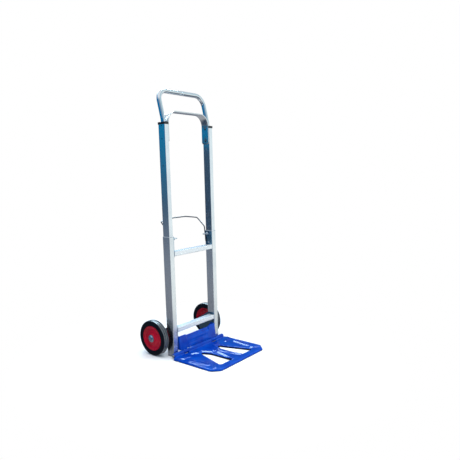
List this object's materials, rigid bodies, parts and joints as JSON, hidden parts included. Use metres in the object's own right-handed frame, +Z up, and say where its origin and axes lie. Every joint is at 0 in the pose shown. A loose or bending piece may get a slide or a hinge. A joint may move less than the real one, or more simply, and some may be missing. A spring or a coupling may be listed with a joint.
{
  "type": "folding hand truck",
  "caption": "Folding two-wheel hand truck with a telescoping mast, bent tube handle, wire release bail and a fold-up pressed toe plate.",
  "frame": {"origin": "on the floor, at the middle of the outline seen from above", "axes": "+X to the right wheel, -Y towards the toe plate's front edge, +Z up the uprights"},
  "size_m": [0.3888, 0.409, 1.0813],
  "materials": {
    "aluminium": "satin",
    "black_plastic": "matte",
    "grey_plastic": "matte",
    "bush_plastic": "matte",
    "dark_steel": "gloss",
    "zinc_steel": "satin",
    "chrome": "polished",
    "tyre": "matte",
    "red_paint": "gloss",
    "blue_paint": "gloss"
  },
  "bodies": {
    "frame": {"lower_upright_left": "aluminium", "lower_upright_right": "aluminium", "foot_cap_left": "black_plastic", "foot_cap_right": "black_plastic", "tube_collar_left": "grey_plastic", "tube_collar_right": "grey_plastic", "mid_crossbar": "aluminium", "low_crossbar": "aluminium", "crossbar_end_blocks": "grey_plastic", "crossbar_rivets": "zinc_steel", "latch_plate_left": "zinc_steel", "latch_plate_right": "zinc_steel", "latch_rivets": "zinc_steel", "lock_barrel_left": "zinc_steel", "lock_barrel_right": "zinc_steel", "lock_spring_left": "zinc_steel", "lock_spring_right": "zinc_steel", "wheel_bracket_left": "dark_steel", "wheel_bracket_right": "dark_steel", "bracket_bolts": "zinc_steel", "axle": "zinc_steel", "axle_spacer_left": "zinc_steel", "axle_spacer_right": "zinc_steel", "axle_cap_left": "chrome", "axle_cap_right": "chrome", "hinge_bracket": "blue_paint", "hinge_rod": "zinc_steel", "hinge_rod_caps": "zinc_steel"},
    "mast": {"inner_upright_left": "aluminium", "inner_upright_right": "aluminium", "glide_plug_left": "black_plastic", "glide_plug_right": "black_plastic", "top_cap_left": "black_plastic", "top_cap_right": "black_plastic", "carrying_arch": "aluminium", "arch_rivets": "zinc_steel", "chrome_handle": "chrome", "handle_rivets": "zinc_steel"},
    "toe_plate": {"toe_plate": "blue_paint"},
    "left_wheel": {"tyre_left": "tyre", "wheel_rim_left": "red_paint", "hub_bush_left": "bush_plastic"},
    "right_wheel": {"tyre_right": "tyre", "wheel_rim_right": "red_paint", "hub_bush_right": "bush_plastic"},
    "release_bail": {"release_bail": "zinc_steel"},
    "left_lock_pin": {"lock_pin_left": "zinc_steel"},
    "right_lock_pin": {"lock_pin_right": "zinc_steel"}
  },
  "joints": [
    {"name": "mast_slide", "type": "slide", "parent": "frame", "child": "mast", "axis": [0, 0, 1], "range_m": [-0.362, 0]},
    {"name": "toe_plate_fold", "type": "hinge", "parent": "frame", "child": "toe_plate", "pos_m": [0, 0.0305, 0.013], "axis": [-1, 0, 0], "range_deg": [0, 90]},
    {"name": "left_wheel_spin", "type": "hinge", "parent": "frame", "child": "left_wheel", "pos_m": [-0.17, 0.1295, 0.075], "axis": [1, 0, 0], "continuous": true},
    {"name": "right_wheel_spin", "type": "hinge", "parent": "frame", "child": "right_wheel", "pos_m": [0.17, 0.1295, 0.075], "axis": [1, 0, 0], "continuous": true},
    {"name": "bail_swing", "type": "hinge", "parent": "frame", "child": "release_bail", "pos_m": [0, 0.0725, 0.452], "axis": [-1, 0, 0], "range_deg": [0, 20], "stiffness_Nm_per_rad": 0.3, "springref_deg": -17.19},
    {"name": "left_pin_pull", "type": "slide", "parent": "frame", "child": "left_lock_pin", "axis": [1, 0, 0], "range_m": [0, 0.006], "deforming": ["lock_spring_left"]},
    {"name": "right_pin_pull", "type": "slide", "parent": "frame", "child": "right_lock_pin", "axis": [-1, 0, 0], "range_m": [0, 0.006], "deforming": ["lock_spring_right"]}
  ],
  "couplings": [
    {"joint": "left_pin_pull", "follows": "bail_swing", "m_per_rad": 0.0171},
    {"joint": "right_pin_pull", "follows": "bail_swing", "m_per_rad": 0.0171}
  ]
}
